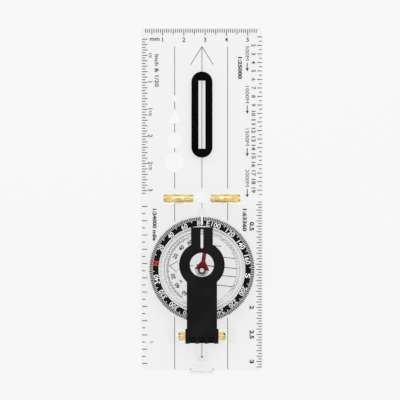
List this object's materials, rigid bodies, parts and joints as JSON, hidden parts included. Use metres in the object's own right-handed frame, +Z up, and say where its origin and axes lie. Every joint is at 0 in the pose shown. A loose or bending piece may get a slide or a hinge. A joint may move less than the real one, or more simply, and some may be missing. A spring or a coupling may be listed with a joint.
{
  "type": "folding baseplate compass",
  "caption": "Folding clear map compass with a hinged sighting cover, a turning capsule dial and needle, a hinged black sight arm with a reading lens, and a sliding catch.",
  "frame": {"origin": "on the resting surface, under the middle of the open compass's whole length and width", "axes": "+X across the leaves, +Y along them from the dial leaf to the sighting cover, +Z up out of the dial"},
  "size_m": [0.057, 0.1616, 0.0164],
  "materials": {
    "clear_acrylic": "clear, polished",
    "clear_capsule": "clear, polished",
    "clear_film": "clear printed sheet",
    "optical_lens": "clear, ground and polished",
    "black_abs": "moulded, fine satin",
    "black_insert": "moulded, smooth",
    "dial_black": "smooth black with white figures",
    "index_white": "filled line",
    "silicone_seal": "translucent",
    "brass": "turned, bright",
    "steel": "fine ground",
    "needle_paint": "red north half, white south half",
    "hub_black": "moulded",
    "jewel": "polished"
  },
  "bodies": {
    "base": {"lower_plate": "clear_acrylic", "pin_keeper": "clear_acrylic", "hinge_pin_left": "brass", "hinge_pin_right": "brass", "index_pointer": "clear_acrylic", "index_line": "index_white", "arm_bracket_left": "clear_acrylic", "arm_bracket_right": "clear_acrylic", "arm_pin": "brass", "catch_guide": "clear_acrylic", "catch_stop_pin": "steel"},
    "cover": {"upper_plate": "clear_acrylic", "sight_frame": "black_insert", "sight_wire": "steel"},
    "dial": {"dial_rim": "clear_capsule", "number_band": "dial_black", "capsule_base": "clear_capsule", "capsule_seal": "silicone_seal", "capsule_cover": "clear_capsule", "scale_disc": "clear_film", "dial_retainer": "clear_capsule", "pivot_pin": "steel"},
    "needle": {"needle_blade": "needle_paint", "needle_hub": "hub_black", "needle_jewel": "jewel"},
    "arm": {"sight_arm": "black_abs", "sight_lens": "optical_lens", "lens_ring": "black_abs"},
    "catch": {"catch_slider": "clear_acrylic"}
  },
  "joints": [
    {"name": "cover_hinge", "type": "hinge", "parent": "base", "child": "cover", "pos_m": [0, 0.0009, 0.0076], "axis": [1, 0, 0], "range_deg": [0, 180]},
    {"name": "dial_turn", "type": "hinge", "parent": "base", "child": "dial", "pos_m": [0, -0.03225, 0], "axis": [0, 0, 1], "continuous": true},
    {"name": "needle_turn", "type": "hinge", "parent": "dial", "child": "needle", "pos_m": [0, -0.03225, 0], "axis": [0, 0, 1], "continuous": true},
    {"name": "arm_hinge", "type": "hinge", "parent": "base", "child": "arm", "pos_m": [0, -0.06345, 0.0081], "axis": [-1, 0, 0], "range_deg": [-135, 0]},
    {"name": "catch_slide", "type": "slide", "parent": "base", "child": "catch", "axis": [0, 1, 0], "range_m": [0, 0.0008]}
  ]
}
